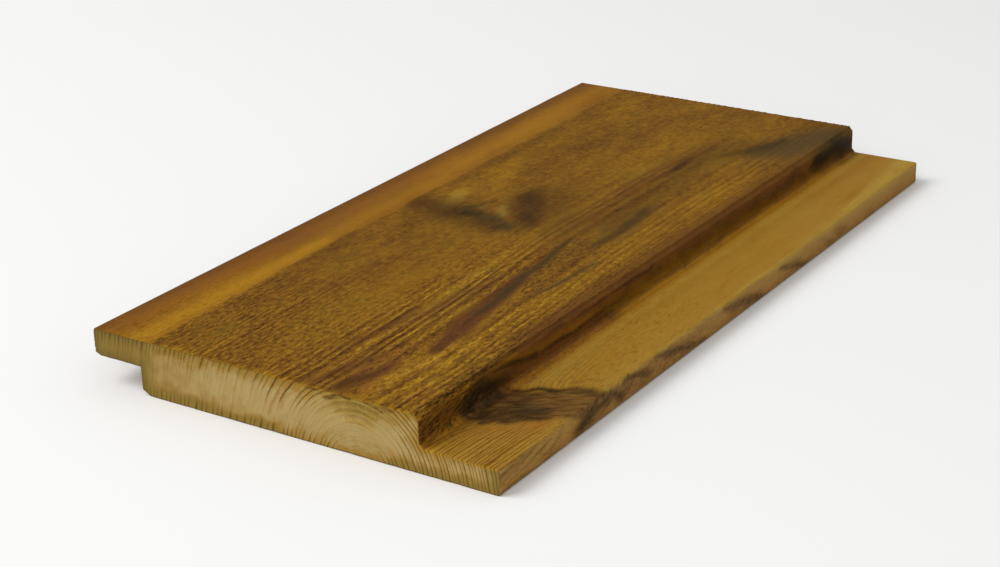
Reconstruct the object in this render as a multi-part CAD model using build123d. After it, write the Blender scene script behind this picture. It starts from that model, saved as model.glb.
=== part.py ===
from build123d import *
import os

# Rebated cladding board: one piece of softwood, machined all round and cut to a short length.
# It lies on its back with the weather face up. X runs across the board, from the face lap at -X
# to the back lap at +X, Y runs along the grain, and Z points out of the weather face.
# The origin is the middle of the board's length and width, on the surface that it lies on.
# All sizes are in millimetres.

# Stock
board_thickness = 18.0
board_width = 145.0
board_length = 285.0

# Face lap: the tongue level with the weather face, which covers the next board's back lap
face_lap_width = 18.0
face_lap_thickness = 9.0

# Back lap: the tongue level with the back, which lies behind the next board's face lap
shadow_gap = 8.0
lap_clearance = 1.0
back_lap_width = face_lap_width + shadow_gap
back_lap_thickness = board_thickness - face_lap_thickness - lap_clearance

# Arrises that the cutters leave, as bevels (across the board by through it) and as rounds
drip_bevel_width = 2.0
drip_bevel_height = 1.0
back_bevel_width = 2.8
back_bevel_height = 1.7
shoulder_bevel_width = 1.3
shoulder_bevel_height = 1.9
shoulder_foot_width = 1.3
shoulder_foot_height = 1.3
face_edge_round = 0.6
back_lap_top_round = 0.7
back_lap_bottom_round = 1.0

# Places in the section, worked out from the sizes above
face_lap_edge = -board_width / 2
back_lap_edge = board_width / 2
face_lap_shoulder = face_lap_edge + face_lap_width
back_lap_shoulder = back_lap_edge - back_lap_width
face_lap_underside = board_thickness - face_lap_thickness


def section_corners():
    """The section's corners, round from the face lap's underside, with its four bevels cut."""
    face_lap = [
        (face_lap_edge, face_lap_underside + drip_bevel_height),
        (face_lap_edge + drip_bevel_width, face_lap_underside),
        (face_lap_shoulder, face_lap_underside),
    ]
    back = [
        (face_lap_shoulder, back_bevel_height),
        (face_lap_shoulder + back_bevel_width, 0),
        (back_lap_edge, 0),
    ]
    back_lap = [
        (back_lap_edge, back_lap_thickness),
        (back_lap_shoulder + shoulder_foot_width, back_lap_thickness),
        (back_lap_shoulder, back_lap_thickness + shoulder_foot_height),
    ]
    weather_face = [
        (back_lap_shoulder, board_thickness - shoulder_bevel_height),
        (back_lap_shoulder - shoulder_bevel_width, board_thickness),
        (face_lap_edge, board_thickness),
    ]
    return face_lap + back + back_lap + weather_face


def rounded_corners():
    """Each corner that is rounded, with its radius."""
    return [
        ((face_lap_edge, board_thickness), face_edge_round),
        ((back_lap_edge, back_lap_thickness), back_lap_top_round),
        ((back_lap_edge, 0), back_lap_bottom_round),
    ]


def board_section():
    """The closed section of the board, drawn across X and up Z."""
    with BuildSketch(Plane.XZ) as section:
        with BuildLine():
            Polyline(*section_corners(), close=True)
        make_face()
        for place, radius in rounded_corners():
            corner = section.vertices().sort_by_distance(place)[0]
            fillet(corner, radius)
    return section.sketch


def make_board():
    """The section run along the grain, half its length each way from the middle."""
    return extrude(board_section(), amount=board_length / 2, both=True)


os.makedirs("parts", exist_ok=True)
board = make_board()
export_step(board, "parts/cladding_board.step")
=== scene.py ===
from collections import namedtuple
from math import cos, radians, sin

import bmesh
import bpy
import numpy as np
from mathutils import Matrix, Vector
from mathutils.geometry import delaunay_2d_cdt


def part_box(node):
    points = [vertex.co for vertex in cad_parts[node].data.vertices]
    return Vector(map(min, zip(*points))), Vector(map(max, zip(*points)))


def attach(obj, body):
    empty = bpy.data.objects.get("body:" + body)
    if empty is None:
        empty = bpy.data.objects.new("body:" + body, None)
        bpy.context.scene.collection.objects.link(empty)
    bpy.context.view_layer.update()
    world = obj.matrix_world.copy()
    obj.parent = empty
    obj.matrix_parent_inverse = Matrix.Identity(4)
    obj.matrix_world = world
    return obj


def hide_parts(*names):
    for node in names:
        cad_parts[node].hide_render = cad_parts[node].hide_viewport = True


# The looks of a rebated cladding board: sawn and planed softwood with a brown preservative stain.
# Places on the board are given in millimetres: across it from the face lap's edge, along it from the
# near end, and up from its back. The frame gives the board's own size.

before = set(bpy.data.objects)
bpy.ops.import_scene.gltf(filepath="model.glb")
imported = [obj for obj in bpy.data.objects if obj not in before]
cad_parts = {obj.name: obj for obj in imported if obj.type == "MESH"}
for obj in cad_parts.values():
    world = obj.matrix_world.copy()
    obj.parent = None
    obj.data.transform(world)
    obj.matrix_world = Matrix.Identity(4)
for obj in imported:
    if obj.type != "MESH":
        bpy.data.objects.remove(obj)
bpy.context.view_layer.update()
NODE = "cladding_board"
MM = 0.001
low_corner, high_corner = (np.array(corner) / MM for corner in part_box(NODE))

# Places on the board: its outer edge, far end and weather face, the face lap's inner side and
# underside, the shoulder beside the back lap, and the back lap's top
EDGE, FAR, FACE = high_corner - low_corner
FACE_LAP_SIDE = 18.0
FACE_LAP_UNDER = 9.0
SHOULDER = 119.0
LAP_TOP = 8.0

# Camera at the photo's angle: its place in metres, and its azimuth, elevation and roll in degrees
CAMERA_PLACE = (0.34541, -0.55291, 0.26551)
CAMERA_ANGLES = (33.4709, 22.4561, -1.4541)
CAMERA_LENS = 75.01
SENSOR_WIDTH = 36.0

# Light of the sky and colour of the floor
SKY_STRENGTH = 0.55
SKY_WHITE = (1.0, 1.0, 1.0, 1.0)
FLOOR_WHITE = (0.82, 0.82, 0.81, 1.0)

# Growth of the tree that the board was sawn from
PITH_ACROSS = 97.5
PITH_UP = -4.0
PITH_DRIFT = -5.0
PITH_DRIFT_LENGTH = 160.0
CORE_RADIUS = 27.0
CORE_RING = 1.6
LEFT_RING = 2.3
LEFT_RINGS_END = 34.0
SAPWOOD_RING = 1.5
RIGHT_RING = 1.2
RING_OFFSET = -0.37
GRAIN = np.array((0.0, 1.0, 0.0))

# Knots: where each branch starts on the pith, its direction, how fast it widens, its widest radius
# and how plainly its own wood shows
Knot = namedtuple("Knot", "start direction spread widest mark")
LAP_KNOT = Knot((97.5, 14.0, -4.0), (1.0, 0.715, 0.393), 0.42, 9.9, 1.0)
FACE_KNOT = Knot((96.5, 129.5, -4.0), (-1.0, 0.45, 0.4835), 0.14, 7.0, 0.0)
KNOTS = (LAP_KNOT, FACE_KNOT)
KNOT_PULL = 1.6
KNOT_BULGE = 2.2
BULGE_REACH = 5.0
FLOW_REACH = 13.0
FACE_CALM = 0.8
OUT_OF_REACH = 99.0

# The mesh: spacing of its points in millimetres
FINE_STEP = 0.42
MEDIUM_STEP = 0.6
COARSE_STEP = 2.0
ARC_STEP = 0.35
STATION_STEP = 2.3
KNOT_STEP = 1.2
KNOT_STRETCHES = ((8.0, 62.0), (124.0, 172.0))
END_STATIONS = (0.25, 0.7, 1.4)
CAP_STEP = 0.75
CAP_RIM = 0.55
SHORTEST_RUN = 1.2

# Relief, in millimetres: places across the board and depths below its machined surface
BAND_EDGE = 21.5
BAND_DEPTH = 0.22
SAWN_DEPTH = 0.16
LINE_HEIGHT = 0.11
CRACK_DEPTH = 0.12
CRACK_WIDTH = 0.7
TORN_REACH = 9.0
TORN_STRIP = (117.0, 136.0)
END_ARRIS = 0.08
END_CHIP = 0.3
FAR_CHIP = 0.08


def smooth(value):
    """0 below 0, 1 above 1 and an even curve between."""
    value = np.clip(value, 0.0, 1.0)
    return value * value * (3.0 - 2.0 * value)


def unit(vector):
    return np.asarray(vector, float) / np.linalg.norm(vector)


def scattered(a, b, c, seed):
    """A repeatable value from -1 to 1 for each whole-numbered place."""
    mixed = (a * 73856093) ^ (b * 19349663) ^ (c * 83492791) ^ (seed * 2654435761)
    mixed = ((mixed ^ (mixed >> 13)) * 1274126177) & 0x7FFFFFFF
    return ((mixed ^ (mixed >> 15)) & 0xFFFFF) / 0x7FFFF - 1.0


def noise(place, size, seed):
    """Smooth noise from -1 to 1, with features of the given size across, along and up."""
    scaled = place / np.asarray(size, float)
    corner = np.floor(scaled).astype(np.int64)
    part = smooth(scaled - corner)
    total = np.zeros(len(place))
    for offset in np.ndindex(2, 2, 2):
        weight = np.prod(np.where(offset, part, 1.0 - part), axis=1)
        total += weight * scattered(*(corner + offset).T, seed)
    return total


def trunk_rings(place):
    """The count of growth rings out from the pith, for straight-grown wood."""
    across, along, up = place.T
    drift = PITH_DRIFT * smooth(along / PITH_DRIFT_LENGTH)
    wander = 0.7 * np.sin(along / 31.0) + 0.3 * np.sin(along / 12.0 + 1.0)
    sideways = across - PITH_ACROSS - drift - wander
    height = up - PITH_UP - 0.15 * np.sin(along / 47.0)
    radius = np.hypot(sideways, height)
    core = np.minimum(radius, CORE_RADIUS) / CORE_RING
    outer = np.maximum(radius - CORE_RADIUS, 0.0)
    right = outer / RIGHT_RING
    left = np.minimum(outer, LEFT_RINGS_END) / LEFT_RING
    left = left + np.maximum(outer - LEFT_RINGS_END, 0.0) / SAPWOOD_RING
    side = smooth((sideways + 6.0) / 12.0)
    rings = core + right * side + left * (1.0 - side) + RING_OFFSET
    uneven = 0.28 * np.sin(rings * 0.9) + 0.16 * np.sin(rings * 2.3 + 1.0)
    wobble = 0.1 * noise(place, (11, 70, 11), 1) + 0.08 * noise(place, (3, 16, 3), 2)
    return rings + uneven + wobble


Growth = namedtuple("Growth", "straight rings outside branch")


def grown(place):
    """Where each fibre would run if it had grown straight, its ring count, its distance outside the
    nearest knot that shows, and its place in that knot: sideways, lengthways and along the branch."""
    straight = place.copy()
    bulge = np.zeros(len(place))
    outside = np.full(len(place), OUT_OF_REACH)
    branch = np.zeros(place.shape)
    below = 1.0 - FACE_CALM * smooth((place[:, 2] - 11.0) / 7.0)
    for knot in KNOTS:
        axis = unit(knot.direction)
        grainwards = unit(GRAIN - GRAIN @ axis * axis)
        sidewards = np.cross(axis, grainwards)
        offset = place - knot.start
        reach = offset @ axis
        radius = np.clip(knot.spread * reach, 0.01, knot.widest)
        side = offset @ sidewards
        lengthways = offset @ grainwards
        alive = smooth(reach / 6.0)
        distance = np.hypot(side, lengthways)
        rim = distance - radius + 0.5 * noise(place, (3.5, 3.5, 3.5), 3)
        rim = rim + OUT_OF_REACH * (1.0 - alive)
        stretched = np.maximum(np.hypot(side, lengthways / KNOT_PULL), radius)
        parted = (radius / stretched) ** 2 * np.exp(-(np.maximum(rim, 0.0) / FLOW_REACH) ** 2)
        straight -= (side * parted * below)[:, None] * sidewards
        bulge += KNOT_BULGE * below * np.exp(-np.maximum(rim, 0.0) / BULGE_REACH)
        nearer = (rim < outside) & (knot.mark > 0.0)
        outside = np.where(nearer, rim, outside)
        branch[nearer] = np.column_stack((side, lengthways, reach))[nearer]
    return Growth(straight, trunk_rings(straight) - bulge, outside, branch)


def late_wood(rings):
    """How far into the hard, dark part of its growth ring each place is, from 0 to 1."""
    part = rings - np.floor(rings)
    return smooth((part - 0.5) / 0.4) * (1.0 - smooth((part - 0.93) / 0.07))


# Stains laid on the board, each a soft stroke through places on the board: across, along and up, with
# its reach there
Stain = namedtuple("Stain", "strength points")
STAIN_WANDER = 0.8
STROKE_FADE = np.array((1.0, 0.45, 1.0))


# Strokes on one face, through points of the two places that vary there and the reach

def on_face(strength, *points):
    return Stain(strength, [(across, along, FACE, reach) for across, along, reach in points])


def on_lap(strength, *points):
    return Stain(strength, [(across, along, LAP_TOP, reach) for across, along, reach in points])


def on_shoulder(strength, *points):
    return Stain(strength, [(SHOULDER, along, up, reach) for along, up, reach in points])


def on_edge(strength, *points):
    return Stain(strength, [(EDGE, along, up, reach) for along, up, reach in points])


def on_end(strength, *points):
    return Stain(strength, [(across, 0.0, up, reach) for across, up, reach in points])


GOLD = (
    on_face(1.1, (17, 0, 5), (17, 50, 4.5), (17, 90, 3)),
    on_face(0.45, (16, 90, 5), (13, 200, 7), (10, FAR, 8)),
    on_face(0.35, (60, 15, 14), (70, 110, 10)),
    on_face(0.4, (76, 50, 4), (77, 95, 6), (78, 140, 6), (76, 160, 5)),
    on_face(1.1, (99, 14, 3), (99, 26, 4), (102, 40, 3)),
    on_face(0.7, (106, 4, 5), (106, 50, 5.5), (108, 100, 5)),
    on_face(0.5, (108, 100, 5), (104, 150, 5), (108, 200, 7)),
    on_face(0.7, (27, 150, 4), (36, 160, 6), (30, 184, 5)),
    on_face(0.4, (33, 205, 6), (34, 255, 7), (26, 275, 6)),
    on_face(0.4, (66, 210, 12), (70, 270, 12), (62, FAR, 10)),
    on_face(0.4, (92, 262, 8), (90, FAR, 8)),
    on_face(1.1, (18, 0, 0.6), (SHOULDER, 0, 0.6)),
    on_lap(1.0, (143.5, 0, 3), (143.5, 36, 3), (142, 62, 8), (142, FAR, 8)),
    on_lap(0.9, (132, 0, 12), (130, 20, 10)),
    # Gold along the back lap's inner side: partly its own colour, partly painted light in the
    # shoulder's shadow
    on_lap(0.9, (123, 52, 2.4), (123, FAR, 3)),
    on_lap(0.95, (127, 60, 8), (130, 100, 12), (132, 220, 12), (134, FAR, 10)),
    on_edge(1.0, (0, 6, 6), (34, 6, 5)),
    on_edge(1.0, (64, 9, 3.5), (FAR, 9, 3.5)),
)
RED = (
    on_face(0.65, (0, 0, 6), (1, 80, 8), (0, FAR, 10)),
    on_face(0.4, (6, 60, 4), (10, 110, 7), (10, 160, 6)),
    on_face(1.5, (98.5, 40, 2), (97, 50, 3), (95, 62, 3.4), (92.5, 80, 3), (91, 96, 2)),
    on_face(0.8, (90, 8, 3.5), (94, 20, 3)),
    on_face(0.6, (80, 4, 3), (84, 14, 4), (86, 24, 3)),
    on_face(0.35, (69, 138, 5), (61, 148, 8), (53, 161, 6)),
    on_face(0.5, (78, 142, 8), (84, 156, 8)),
    on_face(0.5, (74, 26, 2), (80, 60, 5), (84, 85, 3)),
    on_face(0.6, (80, 185, 5), (82, 220, 7), (84, 240, 4)),
    on_face(0.5, (115, 60, 3), (116, 110, 4), (117, 180, 3)),
    on_shoulder(0.8, (54, 16.5, 3), (110, 16, 4), (240, 15, 5)),
    on_shoulder(0.8, (46, 11, 5), (62, 10, 4), (100, 9, 3)),
    on_shoulder(0.6, (0, 12, 5), (22, 12, 5)),
    # Red-brown along the shoulder's foot: partly stain, partly painted shade in the crease
    on_shoulder(0.45, (116, 8.8, 1.4), (FAR, 8.8, 1.2)),
    on_lap(0.2, (120.5, 50, 1), (120.5, 110, 1.6), (120.5, 160, 1.2)),
    on_lap(0.5, (121, 8, 2), (122, 18, 3)),
    on_edge(0.4, (44, 2, 3), (120, 1, 4), (FAR, 1, 4)),
    on_edge(0.55, (58, 4.5, 3.4), (110, 4, 3.4)),
    on_edge(0.25, (120, 5.5, 2.4), (190, 5, 2.4)),
)
ORANGE = (
    on_lap(0.6, (126, 14, 3.6), (131, 21, 4), (140, 29, 4)),
    on_face(0.55, (88, 13, 2.4), (89, 35, 2.4)),
    on_face(0.5, (97, 7, 3), (94, 19, 3)),
    on_lap(0.45, (126, 236, 6), (128, FAR, 7)),
    on_lap(0.3, (122, 60, 2), (122, 170, 2)),
    on_face(0.45, (3, 0, 5), (6, 60, 5), (8, 160, 7)),
    on_edge(0.45, (24, 5, 4), (38, 5, 4)),
)
PALE = (
    on_edge(0.6, (58, 8, 1), (140, 8, 1.5), (FAR, 8, 2.2)),
    on_lap(0.35, (143, 190, 1.6), (143, 235, 2.4)),
    on_lap(0.6, (143, 225, 1.6), (142, 262, 4), (141, FAR, 5)),
    on_face(0.5, (33, 144, 4), (30, 152, 3)),
    on_face(0.5, (56, 141, 1.8), (51, 147, 2)),
    on_lap(0.4, (143.5, 60, 2), (143, 84, 2)),
    on_lap(0.4, (125, 56, 2.4), (125, FAR, 3)),
    on_edge(0.35, (20, 5.5, 3), (36, 5.5, 3)),
)
BLUE = (
    on_face(0.8, (94, 68, 2), (92.5, 84, 2.4), (90.5, 100, 2.2), (87, 134, 0.8)),
    on_face(0.7, (101.5, 86, 0.8), (103, 98, 1.3), (105, 120, 1.4)),
    on_face(0.6, (97, 132, 2), (97, 146, 5), (95, 166, 5)),
    on_face(0.75, (41, 140, 2.4), (46, 138.5, 2.4), (53, 136.5, 2.6), (64, 131.5, 2.4)),
    on_face(1.0, (100, 243, 5), (110, 256, 10), (115, 268, 9)),
    on_lap(0.6, (129, 34.5, 3), (135, 38.5, 2.2)),
    on_edge(0.4, (64, 5, 4), (74, 4, 3)),
    on_shoulder(0.36, (104, 9.5, 2.6), (176, 9.5, 2.6)),
)
DARK = (
    on_face(0.6, (23, 138, 4), (36, 136, 6), (46, 134, 5), (60, 130, 4)),
    on_face(0.75, (42, 135.5, 2.6), (47.5, 136.5, 2.8)),
    on_face(0.5, (41, 140, 3.4), (43, 145, 3), (45, 150, 2)),
    on_face(0.34, (98.5, 39, 2), (97, 48, 2)),
    on_face(0.42, (44, 136, 3), (56, 134, 3), (68, 130, 2.4)),
    on_face(0.66, (68, 139, 4.5), (61, 148, 6.5), (53, 161, 6)),
    on_face(0.36, (72, 150, 12), (60, 164, 9), (84, 138, 9), (92, 146, 7)),
    on_face(0.42, (96, 56, 2), (93, 80, 2.6), (90.5, 102, 2.2), (87, 136, 0.8)),
    on_face(0.5, (97, 134, 2.5), (98, 148, 4), (95, 168, 4)),
    on_face(0.42, (90, 150, 7), (90, 190, 8), (88, 224, 8), (92, 246, 6)),
    on_face(0.62, (85, 202, 2), (83, 222, 3.6)),
    on_face(0.3, (91, 96, 4), (92, 140, 5)),
    on_face(0.5, (90, 230, 4), (99, 244, 4.5), (103, 254, 4)),
    on_face(0.3, (22, 182, 3), (24, 206, 4), (23, 228, 3)),
    on_face(0.45, (88, 3, 3), (92, 13, 3)),
    on_face(0.45, (118, 2, 3), (118, 30, 4), (119, 50, 2.5)),
    on_face(0.4, (101.5, 76, 0.7), (103, 98, 0.9), (105, 118, 0.9)),
    on_shoulder(0.38, (0, 14, 5.5), (18, 13, 5)),
    on_shoulder(0.8, (24, 11.5, 3.2), (31, 14.2, 4.2), (42, 10.5, 3.2)),
    on_shoulder(0.66, (23, 9.5, 2), (35, 10, 2.8)),
    on_shoulder(0.72, (34, 17, 1.4), (50, 14, 1.3), (60, 12, 1.4)),
    on_shoulder(0.68, (60, 11.4, 1.1), (110, 11.8, 1.4)),
    on_shoulder(0.5, (96, 12, 3.4), (160, 12, 3.8), (245, 12, 4)),
    on_shoulder(0.62, (64, 16.4, 0.7), (90, 15.8, 0.8), (130, 15.3, 1)),
    on_shoulder(0.95, (254, 13, 4), (266, 13.5, 5), (FAR, 12, 6)),
    on_lap(0.75, (119.5, 29, 2.6), (120.5, 38, 2.6)),
    on_lap(0.68, (121, 27, 3.4), (128, 31, 3.4), (137, 36, 2.4)),
    on_lap(0.5, (121, 36, 5), (128, 38, 3)),
    on_lap(0.9, (120, 43.5, 1), (127, 48.5, 1), (134, 52, 0.9)),
    on_lap(0.75, (134, 52, 1), (140, 54, 1.3), (EDGE, 55, 1.4)),
    on_lap(0.8, (124.5, 22.5, 0.9), (131, 27, 1.3), (139.5, 34, 1.1)),
    on_lap(0.45, (131, 40, 0.9), (142, 44.5, 1)),
    on_lap(0.4, (137, 37, 0.8), (EDGE, 43, 1)),
    on_lap(0.35, (129, 56, 0.8), (136, 58.5, 1.1)),
    on_lap(0.35, (136, 60, 0.8), (140.5, 61.5, 1.1)),
    on_edge(0.75, (42, 2, 2.4), (48, 4, 2.6), (56, 5, 2.2)),
    on_edge(0.2, (58, 4, 6), (112, 4, 6)),
    on_edge(0.5, (0, 0.8, 1.2), (24, 0.8, 1.2)),
    on_edge(0.68, (59, 7, 1.5), (64, 3, 1.6)),
    on_edge(0.66, (69, 7, 1.2), (75, 5.4, 1.7), (81, 3.4, 1.4)),
    on_edge(0.64, (86, 7, 1.3), (96, 5, 2.1), (105, 2.4, 2), (116, 0.5, 1.6)),
    on_edge(0.62, (130, 6.2, 1.2), (139, 4.4, 2.1), (148, 2.8, 2.1), (160, 0, 1.6)),
    on_edge(0.64, (170, 6.2, 1.2), (180, 4, 2.1), (189, 1, 1.8)),
    on_edge(0.4, (203, 5, 2), (208, 2, 2)),
    on_edge(0.4, (214, 5, 2), (222, 2, 2.5)),
    on_edge(0.3, (4, 1, 1), (30, 1.5, 1.2)),
    on_edge(0.55, (0, 1.6, 0.45), (12, 3.2, 0.5), (26, 6.4, 0.4)),
    on_edge(0.55, (0, 3.6, 0.45), (10, 5, 0.45), (20, 7.6, 0.4)),
    on_edge(0.5, (0, 5.6, 0.4), (11, 7.6, 0.4)),
    on_edge(0.45, (14, 1.6, 0.45), (26, 3.6, 0.5), (34, 6, 0.4)),
)
END_STREAKS = (
    on_end(1.0, (86, 15.8, 0.5), (91, 16.9, 0.7), (96, 17.8, 0.7)),
    on_end(0.9, (80, 16.6, 0.5), (84.5, 17.8, 0.7)),
    on_end(0.8, (101, 17.7, 0.5), (107, 16.2, 0.5)),
    on_end(0.7, (107, 17.8, 0.6), (111.5, 16.8, 0.6)),
)
END_RUST = (
    on_end(0.8, (66.5, 5, 0.9), (68.5, 10, 1.1), (72.5, 15, 1), (75.5, 17.6, 0.8)),
    on_end(0.7, (70.5, 8, 0.7), (73.5, 12.5, 0.9), (79, 17, 0.8)),
    on_end(0.6, (43, 15, 0.7), (46, 18, 1)),
    on_end(0.6, (24, 15, 1), (30, 16.5, 1.4), (36, 17.5, 1)),
)
LINES = (
    on_face(0.7, (78, 8, 16), (80, 36, 15)),
    on_face(0.95, (80, 40, 14), (82, 84, 10)),
    on_face(0.55, (82, 84, 10), (80, 124, 7)),
    on_face(0.7, (108, 10, 12), (106, 64, 11)),
    on_face(0.45, (106, 64, 11), (106, 116, 9)),
    on_face(0.36, (35, 0, 24), (40, 36, 18)),
    on_face(0.3, (84, 120, 18), (84, 200, 14)),
    on_face(0.3, (108, 120, 12), (106, 230, 14)),
    on_lap(1.2, (134, 0, 20), (134, 18, 12)),
    on_lap(0.5, (134, 22, 9), (132, 50, 8), (128, 66, 6)),
)
STAINS = {
    "gold": GOLD, "red": RED, "orange": ORANGE, "pale": PALE, "blue": BLUE, "dark": DARK,
    "lines": LINES, "end_streaks": END_STREAKS, "end_rust": END_RUST,
}


def stained(place, stains):
    """How strongly the stains lie on each place."""
    bends = [noise(place, (4, 9, 4), seed) for seed in (21, 22, 23)]
    bent = (place + np.column_stack(bends) * STAIN_WANDER) * STROKE_FADE
    total = np.zeros(len(place))
    for stain in stains:
        points = np.array(stain.points, float)
        nearest = np.full(len(place), np.inf)
        for start, end in zip(points, points[1:]):
            foot = start[:3] * STROKE_FADE
            run = end[:3] * STROKE_FADE - foot
            share = np.clip((bent - foot) @ run / (run @ run), 0.0, 1.0)
            reach = start[3] + (end[3] - start[3]) * share
            gap = np.linalg.norm(bent - foot - share[:, None] * run, axis=1)
            nearest = np.minimum(nearest, gap / reach)
        total = np.maximum(total, stain.strength * np.exp(-nearest ** 2))
    return total


# The section's outline, read from the CAD node

def end_loop(node):
    """The corners of the node's near end, in order, in millimetres across and up."""
    shape = bmesh.new()
    shape.from_mesh(node.data)
    bmesh.ops.remove_doubles(shape, verts=shape.verts, dist=1e-6)
    near = min(vert.co.y for vert in shape.verts)

    def on_near_end(face):
        return all(abs(vert.co.y - near) < 1e-6 for vert in face.verts)

    onward = {}
    for face in filter(on_near_end, shape.faces):
        for loop in face.loops:
            if not all(on_near_end(other) for other in loop.edge.link_faces):
                onward[loop.vert.index] = loop.link_loop_next.vert.index
    shape.verts.ensure_lookup_table()
    first = min(onward)
    walk = [first]
    while onward[walk[-1]] != first:
        walk.append(onward[walk[-1]])
    places = [np.array((shape.verts[i].co.x, shape.verts[i].co.z)) / MM for i in walk]
    shape.free()
    origin = np.array((low_corner[0], low_corner[2]))
    places = [place - origin for place in places]
    area = sum(a[0] * b[1] - b[0] * a[1] for a, b in zip(places, places[1:] + places[:1]))
    return places if area > 0 else places[::-1]


def in_line(first, second):
    return abs(np.cross(unit(first[1] - first[0]), unit(second[1] - second[0]))) < 1e-3


def straight_runs(corners):
    """The outline's straight runs, without the short chords that stand for its rounds."""
    runs = []
    for start, end in zip(corners, corners[1:] + corners[:1]):
        if np.linalg.norm(end - start) > SHORTEST_RUN:
            if runs and in_line(runs[-1], (start, end)):
                runs[-1] = (runs[-1][0], end)
            else:
                runs.append((start, end))
    first, last = runs[0], runs[-1]
    if in_line(last, first):
        runs = [(last[0], first[1])] + runs[1:-1]
    return runs


def outward(direction):
    """The way out of the board, square to an outline that runs with the wood on its left."""
    return np.array((direction[1], -direction[0]))


def run_step(direction):
    out = outward(direction)
    if out[1] > 0.9:
        return FINE_STEP
    return MEDIUM_STEP if abs(out[0]) > 0.5 else COARSE_STEP


Outline = namedtuple("Outline", "points normals corner distance")


def sampled_outline(runs):
    """Evenly spaced points on the outline with its rounds made true, and which are sharp corners."""
    points, normals, corner = [], [], []
    for (start, end), (next_start, next_end) in zip(runs, runs[1:] + runs[:1]):
        direction, following = unit(end - start), unit(next_end - next_start)
        count = max(1, round(np.linalg.norm(end - start) / run_step(direction)))
        for i in range(count):
            points.append(start + (end - start) * i / count)
            normals.append(outward(direction))
            corner.append(False)
        turn = np.arctan2(np.cross(direction, following), direction @ following)
        gap = np.linalg.norm(next_start - end)
        if gap < 1e-3:
            points.append(end)
            normals.append(unit(outward(direction) + outward(following)))
            corner.append(True)
            continue
        radius = gap / (2.0 * sin(abs(turn) / 2.0))
        centre = end - outward(direction) * radius * np.sign(turn)
        count = max(2, round(radius * abs(turn) / ARC_STEP))
        for i in range(count):
            angle = turn * i / count
            spin = np.array(((cos(angle), -sin(angle)), (sin(angle), cos(angle))))
            points.append(centre + spin @ (end - centre))
            normals.append(spin @ outward(direction))
            corner.append(False)
    # A run's first point repeats the sharp corner before it
    keep = [i for i in range(len(points)) if not corner[i - 1]]
    points, normals = np.array(points)[keep], np.array(normals)[keep]
    corner = np.array(corner)[keep]
    steps = np.linalg.norm(np.roll(points, -1, axis=0) - points, axis=1)
    distance = np.concatenate(([0.0], np.cumsum(steps)))
    return Outline(points, normals, corner, distance)


def stations():
    """Places along the board where its outline is repeated."""
    places = [0.0, *END_STATIONS]
    while places[-1] < FAR - END_STATIONS[-1] - STATION_STEP:
        fine = any(start < places[-1] < end for start, end in KNOT_STRETCHES)
        places.append(places[-1] + (KNOT_STEP if fine else STATION_STEP))
    return np.array(places + [FAR - gap for gap in reversed(END_STATIONS)] + [FAR])


def crispness(place):
    """How strongly the rough texture shows: most at the near end and over the heart of the tree."""
    across, along = place[:, 0], place[:, 1]
    near = 1.0 - smooth((along - 25.0) / 60.0)
    heart = smooth((across - 58.0) / 16.0) * (1.0 - smooth((along - 90.0) / 80.0))
    return 0.3 + 0.7 * np.maximum(near, heart)


def frayed_share(place):
    """1 where the cutter tore the shoulder's fibres, by the lap's knot and towards the near end."""
    across, along, up = place.T
    beside = smooth((across - SHOULDER + 5.0) / 4.0) * smooth((SHOULDER + 3.0 - across) / 2.0)
    return beside * (1.0 - smooth((along - 20.0) / 26.0)) * smooth((up - 7.0) / 2.0)


def painted_light_beside_shoulder(place):
    """Painted light: 1 at the back lap's inner side, beside the shoulder, lifting it in the
    shoulder's shade.
    """
    across, along, up = place.T
    strip = smooth((across - SHOULDER - 0.4) / 0.9) * smooth((127.0 - across) / 6.5)
    return strip * smooth((up - 7.0) / 0.8) * (0.5 + 0.5 * smooth((along - 10.0) / 30.0))


def weather_share(place):
    """1 on the weather face, 0 from a little below it."""
    return smooth((place[:, 2] - FACE + 1.4) / 0.8)


def right_lap(place):
    """1 on the back lap's top and on the upper part of its outer edge."""
    return smooth((place[:, 0] - SHOULDER) / 4.0) * smooth((place[:, 2] - 4.0) / 4.0)


def outer_edge(place):
    """1 on the back lap's outer edge."""
    return smooth((place[:, 0] - EDGE + 0.5) / 0.4)


def sawn_share(place):
    """1 on the fine-sawn part of the weather face, 0 where the board is planed."""
    across, along = place[:, 0], place[:, 1]
    ragged = 1.1 * noise(place, (5, 9, 5), 5) + 0.7 * noise(place, (2, 5, 2), 12)
    edge = BAND_EDGE + 1.6 * smooth(1.0 - along / 24.0) - 1.2 * smooth(along / 90.0) + ragged
    return smooth((across - edge) / 2.6 + 0.5) * weather_share(place)


def long_relief(place, growth, sawn):
    """How far the saw, the cutters and the weather went below the machined section."""
    across, outside = place[:, 0], growth.outside
    weather = weather_share(place)
    grain = late_wood(growth.rings)
    rough = 0.5 + 0.5 * noise(place, (0.9, 5, 0.9), 6)
    waves = 0.5 + 0.5 * noise(place, (9, 2.6, 9), 7)
    torn_up = (0.01 + 0.06 * crispness(place)) * rough
    sawn_relief = SAWN_DEPTH - LINE_HEIGHT * grain + torn_up + 0.03 * waves
    band_relief = BAND_DEPTH + 0.03 * rough
    planed_relief = 0.02 + 0.035 * (1.0 - grain)
    depth = planed_relief + weather * (sawn * sawn_relief + (1.0 - sawn) * band_relief)
    crack = np.exp(-(outside / CRACK_WIDTH) ** 2) * CRACK_DEPTH
    torn = smooth(1.0 - outside / TORN_REACH) * smooth((across - TORN_STRIP[0]) / 2.0)
    torn = torn * smooth((TORN_STRIP[1] - across) / 8.0)
    hollow = torn * (0.25 + 0.35 * noise(place, (1.8, 3.5, 1.8), 8)).clip(0.0, 0.6)
    return depth + crack + hollow


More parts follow.
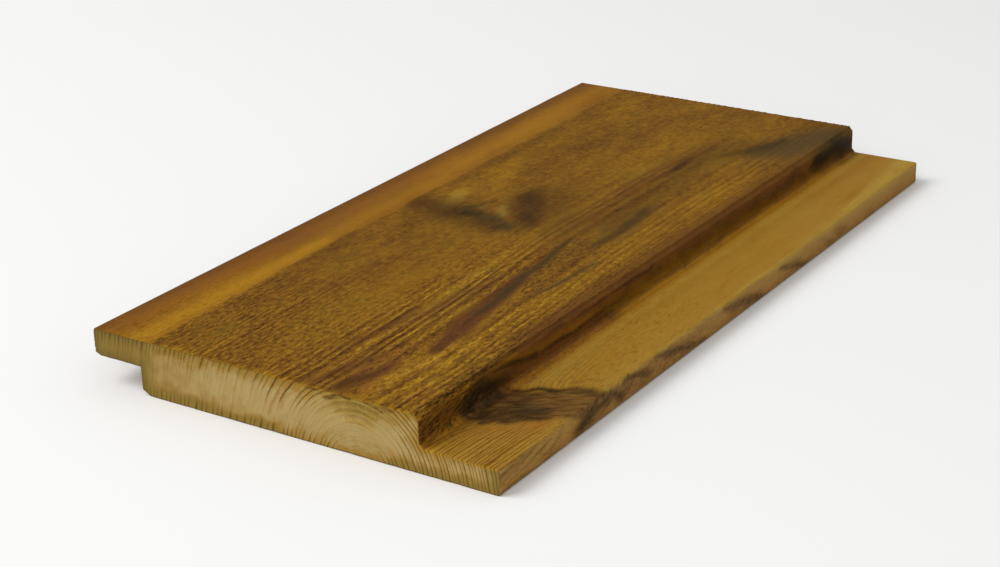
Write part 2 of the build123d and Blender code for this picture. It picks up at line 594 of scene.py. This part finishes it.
def skin_depth(place):
    """How far below the board's long faces each place in its section is."""
    across, up = place[:, 0], place[:, 2]

    def inside(left, right, bottom, top):
        sideways = np.minimum(across - left, right - across)
        return np.minimum(sideways, np.minimum(up - bottom, top - up))

    upper = inside(0.0, SHOULDER, FACE_LAP_UNDER, FACE)
    middle = inside(FACE_LAP_SIDE, SHOULDER, 0.0, FACE)
    lower = inside(FACE_LAP_SIDE, EDGE, 0.0, LAP_TOP)
    return np.maximum(np.maximum(np.maximum(upper, middle), lower), 0.0)


def end_shares(place, rings):
    """For an end: how plainly the rings show there, how far the stain has turned it brown and how far
    it has soaked in, each before its ragged edge is added, and how near the rings' crest it is."""
    across, up = place[:, 0], place[:, 2]
    reach = 9.0 - 3.0 * smooth((rings - 17.0) / 9.0)
    crest = 0.3 + 0.7 * smooth((rings - 13.4) / 1.8)
    top = (1.3 - (FACE - up) / reach) * crest * (0.62 + 0.38 * smooth((across - 58.0) / 8.0))
    comb = (2.3 - (FACE - up) / 1.4) * smooth((48.0 - across) / 10.0)
    bottom = (1.2 - up / 3.9) * smooth((rings - 4.0) / 2.0)
    shoulder = smooth((across - 107.0) / 9.0)
    shown = np.maximum(np.maximum(np.maximum(top, comb), 0.9 * bottom), np.maximum(shoulder, -0.5))
    hill = np.exp(-((across - 98.0) / 12.0) ** 2)
    heart = smooth((across - 66.0) / 10.0) * smooth((112.0 - across) / 6.0)
    foot = 1.5 - up / 3.6 - 0.7 * heart + 0.4 * smooth((56.0 - across) / 20.0)
    head = 1.35 - (FACE - up) / 5.0 - 0.35 * smooth((across - 30.0) / 20.0)
    brown = np.maximum(smooth((66.0 - across) / 40.0) * 0.6, 1.3 * hill * smooth((up - 9.0) / 6.0))
    soak = 6.3 + 3.2 * hill * smooth((up - 7.0) / 4.0)
    brown = np.maximum(brown, np.maximum(foot, head))
    crown = np.exp(-((across - 96.0) / 13.0) ** 2) * smooth((up - 7.0) / 4.0)
    return shown, brown, 1.0 - skin_depth(place) / soak, crown


def green_sides(place):
    """How far the stain turned the ends green: most at the face lap, then at the back lap's tip."""
    across = place[:, 0]
    return np.maximum(smooth((28.0 - across) / 9.0), 0.9 * smooth((across - 135.0) / 10.0))


def top_arris(place):
    """1 along the upper edge of the ends, where the face's golden fibres hang over."""
    across, up = place[:, 0], place[:, 2]
    face = np.where(across < SHOULDER, FACE, LAP_TOP)
    return smooth(1.3 - (face - up) / 0.7) * smooth((across - 48.0) / 24.0)


def end_relief(place, rings):
    """How far the crosscut saw went into the ends."""
    bend = 1.5 * noise(place, (6, 6, 6), 9)
    sweep = 0.5 + 0.5 * np.sin(place[:, 0] * 2.1 + place[:, 2] * 0.5 + bend)
    rough = 0.5 + 0.5 * noise(place, (0.9, 0.9, 0.9), 10)
    return 0.03 * sweep + 0.05 * rough + 0.03 * (1.0 - late_wood(rings))


def lifted(points, along):
    """Points across and up as places on the board, at one distance along it."""
    return np.column_stack((points[:, 0], np.full(len(points), along), points[:, 1]))


def cap_mesh(outline_points):
    """Points inside an end and the triangles that fill it, the outline's own points first."""
    low, high = outline_points.min(0), outline_points.max(0)
    columns = np.arange(low[0] + CAP_STEP, high[0], CAP_STEP)
    rows = np.arange(low[1] + CAP_STEP, high[1], CAP_STEP)
    shift = CAP_STEP / 2
    grid = np.array([(a + j % 2 * shift, b) for j, b in enumerate(rows) for a in columns])
    inside = grid[skin_depth(lifted(grid, 0.0)) > CAP_RIM]
    points = [Vector(p) for p in np.vstack((outline_points, inside))]
    count = len(outline_points)
    edges = [(i, (i + 1) % count) for i in range(count)]
    verts, _, faces, origins, _, _ = delaunay_2d_cdt(points, edges, [], 1, 1e-5)
    names = [min(origin) for origin in origins]
    return np.array([(v.x, v.y) for v in verts]), names, faces


def end_wear(place, rows, count):
    """How deep the arris and the chips go round the two ends."""
    depth = np.zeros((rows, count))
    for row, chip in ((0, END_CHIP), (-1, FAR_CHIP)):
        chipped = noise(place.reshape(rows, count, 3)[row], (1.1, 1, 1.1), 11)
        depth[row] = END_ARRIS + chip * np.maximum(chipped - 0.2, 0.0)
    return depth.ravel()


def side_quads(rows, count):
    """The faces between the outline at each station and at the next."""
    index = np.arange(rows * count).reshape(rows, count)
    ahead = np.roll(index, -1, axis=1)
    quads = np.stack((index[:-1], index[1:], ahead[1:], ahead[:-1]), axis=-1)
    return quads.reshape(-1, 4).tolist()


def end_cap(rim, along, inwards, rim_start, new_start):
    """An end inside its rim: its new points as machined and as the saw left them, and its faces."""
    points, names, triangles = cap_mesh(rim)
    new = [i for i, name in enumerate(names) if name >= len(rim)]
    number = {i: rim_start + name for i, name in enumerate(names) if name < len(rim)}
    number.update({i: new_start + k for k, i in enumerate(new)})
    faces = [[number[i] for i in triangle][::inwards] for triangle in triangles]
    section = lifted(points, along)[new]
    sunk = section.copy()
    sunk[:, 1] += inwards * end_relief(section, grown(section).rings)
    return section, sunk, faces


def make_board():
    """The board as one closed mesh that follows the CAD section, with each point's machined place."""
    outline = sampled_outline(straight_runs(end_loop(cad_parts[NODE])))
    along = stations()
    count, rows = len(outline.points), len(along)
    place = np.vstack([lifted(outline.points, distance) for distance in along])
    normal = np.tile(lifted(outline.normals, 0.0), (rows, 1))
    relief = long_relief(place, grown(place), sawn_share(place))
    moved = place - normal * (relief + end_wear(place, rows, count))[:, None]

    source, verts, faces = [place], [moved], side_quads(rows, count)
    side_faces = len(faces)
    for row, inwards in ((0, 1), (rows - 1, -1)):
        rim = moved[row * count:(row + 1) * count][:, (0, 2)]
        total = sum(len(part) for part in verts)
        section, sunk, triangles = end_cap(rim, along[row], inwards, row * count, total)
        source.append(section)
        verts.append(sunk)
        faces += triangles

    mesh = bpy.data.meshes.new("board")
    mesh.from_pydata((np.vstack(verts) + low_corner) * MM, [], faces)
    mesh.update()
    return mesh, np.vstack(source), outline, rows, side_faces


def wood_values(place):
    """What the materials need to know about the wood at each place."""
    growth = grown(place)
    rings_shown, browned, soaked, crown = end_shares(place, growth.rings)
    values = {
        "grain": growth.straight,
        "branch": growth.branch,
        "rings": growth.rings,
        "outside_knot": growth.outside,
        "skin_depth": skin_depth(place),
        "sawn": sawn_share(place),
        "crisp": crispness(place),
        "frayed": frayed_share(place),
        "green_sides": green_sides(place),
        "right_lap": right_lap(place),
        "outer_edge": outer_edge(place),
        "painted_light_beside_shoulder": painted_light_beside_shoulder(place),
        "rings_shown": rings_shown,
        "browned": browned,
        "soaked": soaked,
        "crown": crown,
        "top_arris": top_arris(place),
    }
    return values | {name: stained(place, stains) for name, stains in STAINS.items()}


def carry(mesh, name, values):
    """Writes a number or a vector for each point of the mesh as an attribute."""
    kind, field = ("FLOAT_VECTOR", "vector") if values.ndim == 2 else ("FLOAT", "value")
    attribute = mesh.attributes.new(name, kind, "POINT")
    attribute.data.foreach_set(field, values.astype(np.float32).ravel())


def mark_edges(mesh, outline, rows):
    """Smooth faces with sharp edges only along the outline's corners and round the two ends."""
    count = len(outline.points)
    pairs = np.empty(len(mesh.edges) * 2, int)
    mesh.edges.foreach_get("vertices", pairs)
    pairs = pairs.reshape(-1, 2)
    on_side = (pairs < rows * count).all(axis=1)
    column, row = pairs % count, pairs // count
    along_corner = (column[:, 0] == column[:, 1]) & outline.corner[column[:, 0]]
    round_end = (row[:, 0] == row[:, 1]) & np.isin(row[:, 0], (0, rows - 1))
    mesh.shade_smooth()
    sharp = mesh.attributes.new("sharp_edge", "BOOLEAN", "EDGE")
    sharp.data.foreach_set("value", on_side & (along_corner | round_end))


def add_uv_map(mesh, source, outline, side_faces):
    """The board unrolled: its long faces side by side, with the two ends below them."""
    count = len(outline.points)
    girth = outline.distance[-1]
    margin = 3.0
    span = girth + 2.0 * margin
    uv = mesh.uv_layers.new(name="OFBake")
    loops = np.empty(len(mesh.loops), int)
    mesh.loops.foreach_get("vertex_index", loops)
    coords = np.empty((len(loops), 2))
    side_loops = side_faces * 4
    side = loops[:side_loops]
    column = side % count
    distance = outline.distance[column]
    corners = column.reshape(-1, 4)
    wraps = (corners == 0) & (corners.max(axis=1, keepdims=True) == count - 1)
    distance = np.where(wraps.ravel(), girth, distance)
    coords[:side_loops, 0] = margin + distance
    coords[:side_loops, 1] = span - margin - FAR + source[side, 1]
    ends = loops[side_loops:]
    far_end = source[ends, 1] > FAR / 2.0
    coords[side_loops:, 0] = margin + source[ends, 0] + far_end * (EDGE + margin)
    coords[side_loops:, 1] = margin + source[ends, 2]
    uv.data.foreach_set("uv", (coords / span).ravel())


# Shader values that are reckoned with like numbers

def plug(value, place):
    if isinstance(value, Shade):
        value.socket.id_data.links.new(value.socket, place)
    else:
        place.default_value = value


def set_inputs(node, values):
    for name, value in values.items():
        node.inputs[name].default_value = value


class Shade:
    """A number that the shader works out at each point."""

    def __init__(self, socket):
        self.socket = socket

    def worked(self, operation, *others):
        node = self.socket.id_data.nodes.new("ShaderNodeMath")
        node.operation = operation
        for value, place in zip((self, *others), node.inputs):
            plug(value, place)
        return Shade(node.outputs[0])

    def __add__(self, other):
        return self.worked("ADD", other)

    def __sub__(self, other):
        return self.worked("SUBTRACT", other)

    def __mul__(self, other):
        return self.worked("MULTIPLY", other)

    __radd__ = __add__
    __rmul__ = __mul__

    def __rsub__(self, other):
        return (self * -1.0) + other


def ramp(value, low, high):
    """0 below low, 1 above high and an even curve between."""
    node = value.socket.id_data.nodes.new("ShaderNodeMapRange")
    node.interpolation_type = "SMOOTHSTEP"
    set_inputs(node, {"From Min": low, "From Max": high})
    plug(value, node.inputs["Value"])
    return Shade(node.outputs["Result"])


def fall(value, low, high):
    """1 below low, 0 above high and an even curve between."""
    return 1.0 - ramp(value, low, high)


def linear(colour):
    """A colour of 0 to 255 as the shader's own numbers."""
    parts = (part / 255.0 for part in colour)
    return (*(p / 12.92 if p <= 0.04045 else ((p + 0.055) / 1.055) ** 2.4 for p in parts), 1.0)


def mixed(first, second, share):
    """From the first colour at a share of 0 to the second at 1."""
    node = share.socket.id_data.nodes.new("ShaderNodeMix")
    node.data_type = "RGBA"
    node.clamp_factor = True
    plug(share, node.inputs[0])
    plug(first if isinstance(first, Shade) else linear(first), node.inputs[6])
    plug(second if isinstance(second, Shade) else linear(second), node.inputs[7])
    return Shade(node.outputs[2])


def brightened(colour, amount):
    """The colour made lighter or darker by a share."""
    node = colour.socket.id_data.nodes.new("ShaderNodeVectorMath")
    node.operation = "SCALE"
    plug(colour, node.inputs[0])
    plug(amount, node.inputs["Scale"])
    return Shade(node.outputs[0])


def carried(tree, name, output="Fac"):
    node = tree.nodes.new("ShaderNodeAttribute")
    node.attribute_name = name
    return Shade(node.outputs[output])


def toned(value, stops):
    """The colour at a value, from stops of a place from 0 to 1 and a colour."""
    node = value.socket.id_data.nodes.new("ShaderNodeValToRGB")
    plug(value, node.inputs["Fac"])
    while len(node.color_ramp.elements) < len(stops):
        node.color_ramp.elements.new(0.5)
    for element, (place, colour) in zip(node.color_ramp.elements, stops):
        element.position = place
        element.color = linear(colour)
    return Shade(node.outputs["Color"])


def joined(*values):
    """A vector from three values."""
    node = values[0].socket.id_data.nodes.new("ShaderNodeCombineXYZ")
    for value, place in zip(values, node.inputs):
        plug(value, place)
    return Shade(node.outputs[0])


def grainy(grain, size, detail=2.0, seed=0.0, roughness=0.5, distortion=0.0):
    """Noise about 0, mostly within 0.5 of it, with features of a size in millimetres each way."""
    tree = grain.socket.id_data
    scaled = tree.nodes.new("ShaderNodeVectorMath")
    scaled.operation = "MULTIPLY"
    plug(grain, scaled.inputs[0])
    scaled.inputs[1].default_value = [1.0 / length for length in size]
    node = tree.nodes.new("ShaderNodeTexNoise")
    node.noise_dimensions = "4D"
    set_inputs(node, {"Scale": 1.0, "W": seed, "Detail": detail})
    set_inputs(node, {"Roughness": roughness, "Distortion": distortion})
    tree.links.new(scaled.outputs[0], node.inputs["Vector"])
    return (Shade(node.outputs["Fac"]) - 0.5) * 2.0


def ring_lines(rings, start=0.5):
    """Each ring's dark late wood from a share of its width, stronger in some rings, and its light
    early wood."""
    part = rings.worked("FRACT")
    tree = rings.socket.id_data
    each = tree.nodes.new("ShaderNodeTexWhiteNoise")
    each.noise_dimensions = "1D"
    plug(rings.worked("FLOOR"), each.inputs["W"])
    strength = Shade(each.outputs["Value"]) * 0.45 + 0.55
    late = ramp(part, start, 0.84) * fall(part, 0.9, 1.0) * strength
    early = ramp(part, 0.02, 0.24) * fall(part, 0.3, 0.56)
    return late, early


def new_material(name):
    material = bpy.data.materials.new(name)
    material.use_nodes = True
    tree = material.node_tree
    return material, tree, tree.nodes["Principled BSDF"]


def add_bump(tree, surface, height, depth):
    """Roughens the surface by a height of 0 to 1 that stands for a depth in millimetres."""
    node = tree.nodes.new("ShaderNodeBump")
    node.inputs["Distance"].default_value = depth * MM
    plug(height, node.inputs["Height"])
    tree.links.new(node.outputs["Normal"], surface.inputs["Normal"])


# Colours as the photo shows them

BAND_GOLD = (151, 105, 18)
BAND_DIM = (127, 81, 14)
BRIGHT_GOLD = (168, 121, 20)
LAP_OLIVE = (153, 117, 43)
# The outer edge's tan, made lighter: partly its own colour, partly painted light for that face's
# shade
EDGE_TAN_AND_PAINTED_LIGHT = (166, 129, 76)
SAWN_TONES = (
    (0.0, (54, 30, 12)),
    (0.25, (88, 53, 18)),
    (0.5, (124, 85, 22)),
    (0.75, (152, 110, 26)),
    (1.0, (178, 138, 38)),
)
SAWN_OLIVE = (104, 84, 24)
LINE_BROWN = (78, 44, 14)
RED_BROWN = (90, 49, 27)
RUST = (142, 84, 26)
ORANGE_BROWN = (150, 96, 36)
PALE_OLIVE = (176, 148, 62)
BLUE_GREY = (76, 62, 34)
RESIN_DARK = (36, 26, 11)
KNOT_TAN = (106, 74, 33)
KNOT_BROWN = (62, 39, 17)
FACE_LIGHT = 0.9
END_PALE = (172, 147, 92)
END_TAN = (160, 126, 70)
END_GOLD = (150, 115, 46)
END_OLIVE = (130, 108, 48)
END_LINE = (84, 49, 14)
END_RED = (148, 106, 50)
END_YELLOW = (178, 152, 76)
END_GREY = (88, 76, 42)
END_LIGHT = 0.84
SPECULAR = 0.04

# Depth of the fine roughness, in millimetres
FACE_BUMP = 0.35
END_BUMP = 0.15

# Strokes that show on the faces, in order: which, colour, cover, ragged edge and speckle
OVERLAYS = (
    ("orange", ORANGE_BROWN, 0.65, 0.9, 0.4),
    ("pale", PALE_OLIVE, 0.75, 0.4, 0.0),
    ("red", RED_BROWN, 0.8, 0.7, 0.7),
    ("blue", BLUE_GREY, 0.8, 0.8, 0.0),
    ("dark", RESIN_DARK, 0.95, 0.5, 0.0),
)

# The long faces' wood: shares that the mesh carries, noises from wide to fine, and its rings
Wood = namedtuple("Wood", "crisp lines gold cloud patch blotch hue mottle dash hair fibre late early")


def face_wood(tree):
    """The wood of the long faces, with noises that stretch and bend with its grain."""
    grain = carried(tree, "grain", "Vector")
    crisp = carried(tree, "crisp")
    mottle = grainy(grain, (1, 2.4, 1), 4.0, 3.0, roughness=0.7, distortion=0.2)
    late, early = ring_lines(carried(tree, "rings") + mottle * crisp * 0.08)
    return Wood(
        crisp=crisp,
        lines=carried(tree, "lines"),
        gold=carried(tree, "gold"),
        cloud=grainy(grain, (16, 50, 16), 2.0, 1.0),
        patch=grainy(grain, (4, 9, 4), 3.0, 2.0),
        blotch=grainy(grain, (2.2, 2.8, 2.2), 3.0, 14.0),
        hue=grainy(grain, (2.4, 6, 2.4), 3.0, 11.0),
        mottle=mottle,
        dash=grainy(grain, (2, 15, 2), 2.0, 10.0),
        hair=grainy(grain, (0.5, 3.2, 0.5), 2.0, 12.0, roughness=0.6, distortion=0.3),
        fibre=grainy(grain, (0.3, 7, 0.3), 2.0, 4.0),
        late=late,
        early=early,
    )


def planed_colour(tree, wood):
    """Gold with faint ring lines, more olive on the back lap, tan plus painted light on its outer
    edge.
    """
    tone = wood.cloud * 0.4 + wood.patch * 0.3 + wood.fibre * 0.15 + wood.gold * 0.75 + 0.2
    tone = tone + wood.early * wood.lines * 0.35 + wood.mottle * wood.crisp * 0.75
    tone = tone + wood.blotch * 0.16
    colour = mixed(BAND_DIM, BAND_GOLD, ramp(tone, 0.0, 0.75))
    colour = mixed(colour, BRIGHT_GOLD, ramp(tone, 0.6, 1.3))
    olive = carried(tree, "right_lap") * ramp(tone, 0.1, 1.1)
    colour = mixed(colour, LAP_OLIVE, olive * 0.8)
    colour = mixed(colour, EDGE_TAN_AND_PAINTED_LIGHT, carried(tree, "outer_edge") * 0.55)
    broken = wood.late * ramp(wood.mottle + wood.dash, -0.9, 0.1)
    return mixed(colour, LINE_BROWN, broken * (wood.lines * 0.75 + 0.03))


def sawn_colour(wood):
    """Brown to gold with broken ring lines, and patches of olive, red and rust."""
    broken = ramp(wood.dash + wood.mottle * 0.6, -0.35, 0.3)
    tone = wood.mottle * wood.crisp * 0.9 + wood.patch * 0.18 + wood.cloud * 0.2
    tone = tone + wood.gold * 0.22 + 0.46
    tone = tone + wood.blotch * (1.0 - wood.crisp) * 0.3
    tone = tone + wood.lines * broken * (wood.early * 0.42 - wood.late * 0.48)
    colour = toned(tone, SAWN_TONES)
    colour = mixed(colour, SAWN_OLIVE, ramp(wood.hue + wood.cloud, 0.05, 0.7) * 0.5)
    colour = mixed(colour, RED_BROWN, fall(wood.hue, -0.6, -0.05) * wood.crisp * 0.4)
    return mixed(colour, RUST, ramp(wood.patch, 0.1, 0.6) * wood.crisp * 0.4)


def knot_colour(wood, outside, streak):
    """Tan with brown streaks, and browner towards the knot's rim."""
    rim = ramp(outside, -3.5, -0.8)
    tone = streak * 1.5 + wood.cloud * 0.6 + rim * 0.5
    return mixed(KNOT_TAN, KNOT_BROWN, ramp(tone, -0.2, 0.8))


def overlaid(tree, wood, colour, ragged, around):
    """The colour under dark hairs of torn fibre, around the knots, and under the strokes."""
    hairy = ramp(wood.hair, 0.02, 0.5) * ramp(wood.crisp, 0.4, 1.0) * around
    colour = mixed(colour, LINE_BROWN, hairy * 0.48)
    for name, tint, cover, raggedness, speckle in OVERLAYS:
        share = carried(tree, name) + ragged * raggedness + wood.mottle * wood.crisp * speckle
        colour = mixed(colour, tint, ramp(share, 0.08, 1.0) * cover)
    return colour


def stained_faces():
    """The long faces: planed and sawn wood with its knots, under the strokes."""
    material, tree, surface = new_material("stained_faces")
    wood = face_wood(tree)
    ragged = wood.patch * 0.5 + wood.mottle * 0.4
    sawn = ramp(carried(tree, "sawn") + ragged * 0.5, 0.3, 0.7)
    outside = carried(tree, "outside_knot") + wood.cloud * 1.2
    inside = fall(outside, -2.0, 1.0)
    around = 1.0 - inside
    branch = carried(tree, "branch", "Vector")
    streak = grainy(branch, (1.5, 1.5, 60), 3.0, 8.0, roughness=0.55)
    torn = (wood.mottle + wood.hair) * carried(tree, "frayed")
    fine = wood.fibre * around * (1.0 - sawn * 0.7)

    colour = mixed(planed_colour(tree, wood), sawn_colour(wood), sawn)
    colour = mixed(colour, knot_colour(wood, outside, streak), inside * 0.9)
    colour = overlaid(tree, wood, colour, ragged, around)
    flecks = (wood.mottle * 0.2 - wood.hair * 0.15) * wood.crisp + torn * 1.7
    flecks = flecks - streak * inside * 0.4
    # The back lap's strip beside the shoulder gets painted light, lifting it in the shoulder's shadow
    light = fine * 0.1 + flecks + carried(tree, "painted_light_beside_shoulder") * 0.6 + FACE_LIGHT
    plug(brightened(colour, light), surface.inputs["Base Color"])
    plug(0.6 + sawn * 0.15, surface.inputs["Roughness"])
    surface.inputs["Specular IOR Level"].default_value = SPECULAR

    height = wood.mottle * sawn * wood.crisp * 0.7 + fine * 0.12
    height = height + wood.late * wood.lines * around * 0.3
    height = height + wood.blotch * sawn * (1.0 - wood.crisp) * 0.3
    height = height + streak * inside * 0.3 + torn * 0.8
    add_bump(tree, surface, height, FACE_BUMP)
    return material


def sawn_ends():
    """The two ends: pale wood with its rings, and stain soaked in from the long faces."""
    material, tree, surface = new_material("sawn_ends")
    grain = carried(tree, "grain", "Vector")
    rings = carried(tree, "rings")
    depth = carried(tree, "skin_depth")
    green = carried(tree, "green_sides")
    crown = carried(tree, "crown")
    arris = carried(tree, "top_arris")
    patch = grainy(grain, (4, 4, 4), 3.0, 5.0)
    speck = grainy(grain, (0.5, 0.5, 0.5), 3.0, 6.0, roughness=0.7)
    fleck = grainy(grain, (0.9, 1, 0.45), 3.0, 13.0, roughness=0.75)
    cloud = grainy(grain, (13, 13, 13), 2.0, 7.0)
    late, early = ring_lines(rings + speck * 0.05, 0.66)
    streak = grainy(joined(rings * 2.2, depth * 0.12, cloud), (1, 1, 1), 3.0, 9.0)
    shown = ramp(carried(tree, "rings_shown") + streak * 0.5 + patch * 0.4, 0.0, 1.0) * 0.96 + 0.04
    browned = carried(tree, "browned") + patch * 0.5
    soaked = ramp(carried(tree, "soaked") + patch * 0.9 + streak * 0.8, 0.0, 1.0)
    colour = mixed(END_PALE, END_TAN, ramp(cloud * 0.6 + streak * 0.7 + browned * 0.9, 0.1, 1.0))
    layers = (
        (END_RED, ramp(patch * 0.25 - streak * 1.3 + browned * 0.5, 0.2, 0.9) * 0.5),
        (END_GOLD, soaked * 0.9),
        (END_OLIVE, ramp(browned + streak * 0.5 + fleck * crown * 1.5, 0.4, 1.3) * 0.85),
        (END_YELLOW, crown * (early * 0.35 + ramp(fleck, 0.0, 0.4) * 0.5)),
        (END_OLIVE, ramp(green + cloud * 0.5 + streak * 0.6, 0.1, 1.1) * 0.9),
        (END_GREY, ramp(green - depth * 0.1 + streak * 0.4, 0.6, 1.2) * 0.7),
        (END_GREY, fall(depth, 0.05, 0.5) * (1.0 - arris) * 0.75),
        (BRIGHT_GOLD, ramp(arris + speck * 0.5, 0.2, 1.0) * 0.7),
        (RUST, ramp(carried(tree, "end_rust") + streak * 0.4, 0.1, 1.0) * 0.45),
        (END_LINE, late * shown * 0.88),
        (END_LINE, ramp(carried(tree, "end_streaks") + fleck * 0.5, 0.15, 0.8) * 0.8),
    )
    for tint, share in layers:
        colour = mixed(colour, tint, share)
    flecks = speck * 0.2 + fleck * (crown * 0.45 + 0.04)
    light = flecks + streak * 0.2 + early * shown * 0.08 + END_LIGHT
    plug(brightened(colour, light), surface.inputs["Base Color"])
    set_inputs(surface, {"Roughness": 0.8, "Specular IOR Level": SPECULAR})
    add_bump(tree, surface, speck * 0.5 + late * 0.4, END_BUMP)
    return material


def add_board():
    """The dressed board, with its two materials."""
    mesh, source, outline, rows, side_faces = make_board()
    for name, values in wood_values(source).items():
        carry(mesh, name, values)
    mark_edges(mesh, outline, rows)
    add_uv_map(mesh, source, outline, side_faces)
    mesh.materials.append(stained_faces())
    mesh.materials.append(sawn_ends())
    which = np.zeros(len(mesh.polygons), int)
    which[side_faces:] = 1
    mesh.polygons.foreach_set("material_index", which)
    board = bpy.data.objects.new("stained_board", mesh)
    bpy.context.scene.collection.objects.link(board)
    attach(board, "root")
    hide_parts(NODE)


# Floor, light and camera

def add_floor():
    """A pale floor that goes well past the picture's edges."""
    half = 6.0
    corners = [(-half, -half, 0), (half, -half, 0), (half, half, 0), (-half, half, 0)]
    mesh = bpy.data.meshes.new("floor")
    mesh.from_pydata(corners, [], [(0, 1, 2, 3)])
    material, _, surface = new_material("pale_floor")
    set_inputs(surface, {"Base Color": FLOOR_WHITE, "Roughness": 0.9, "Specular IOR Level": 0.0})
    mesh.materials.append(material)
    floor = bpy.data.objects.new("floor", mesh)
    bpy.context.scene.collection.objects.link(floor)


def add_softbox(name, place, size, watts):
    """A square area light that faces the board's middle."""
    light = bpy.data.lights.new(name, "AREA")
    light.shape = "SQUARE"
    light.size = size
    light.energy = watts
    holder = bpy.data.objects.new(name, light)
    holder.location = place
    holder.rotation_euler = (-Vector(place)).to_track_quat("-Z", "Y").to_euler()
    bpy.context.scene.collection.objects.link(holder)


def add_lights():
    add_softbox("key_light", (-1.3, -1.2, 1.9), 1.6, 46.0)
    add_softbox("front_light", (0.9, -2.0, 1.0), 1.4, 16.0)
    world = bpy.data.worlds.new("studio")
    world.use_nodes = True
    background = world.node_tree.nodes["Background"]
    set_inputs(background, {"Color": SKY_WHITE, "Strength": SKY_STRENGTH})
    bpy.context.scene.world = world


def add_camera():
    """A camera at the photo's place and angle."""
    azimuth, elevation, roll = map(radians, CAMERA_ANGLES)
    ahead = cos(elevation)
    forward = Vector((-sin(azimuth) * ahead, cos(azimuth) * ahead, -sin(elevation)))
    level = forward.cross(Vector((0, 0, 1))).normalized()
    above = level.cross(forward)
    right = level * cos(roll) + above * sin(roll)
    top = above * cos(roll) - level * sin(roll)
    data = bpy.data.cameras.new("camera")
    data.lens = CAMERA_LENS
    data.sensor_width = SENSOR_WIDTH
    data.clip_start = 0.01
    camera = bpy.data.objects.new("camera", data)
    turned = Matrix((right, top, -forward)).transposed().to_4x4()
    camera.matrix_world = Matrix.Translation(CAMERA_PLACE) @ turned
    bpy.context.scene.collection.objects.link(camera)
    bpy.context.scene.camera = camera


add_board()
add_floor()
add_lights()
add_camera()
bpy.context.scene.view_settings.view_transform = "Standard"
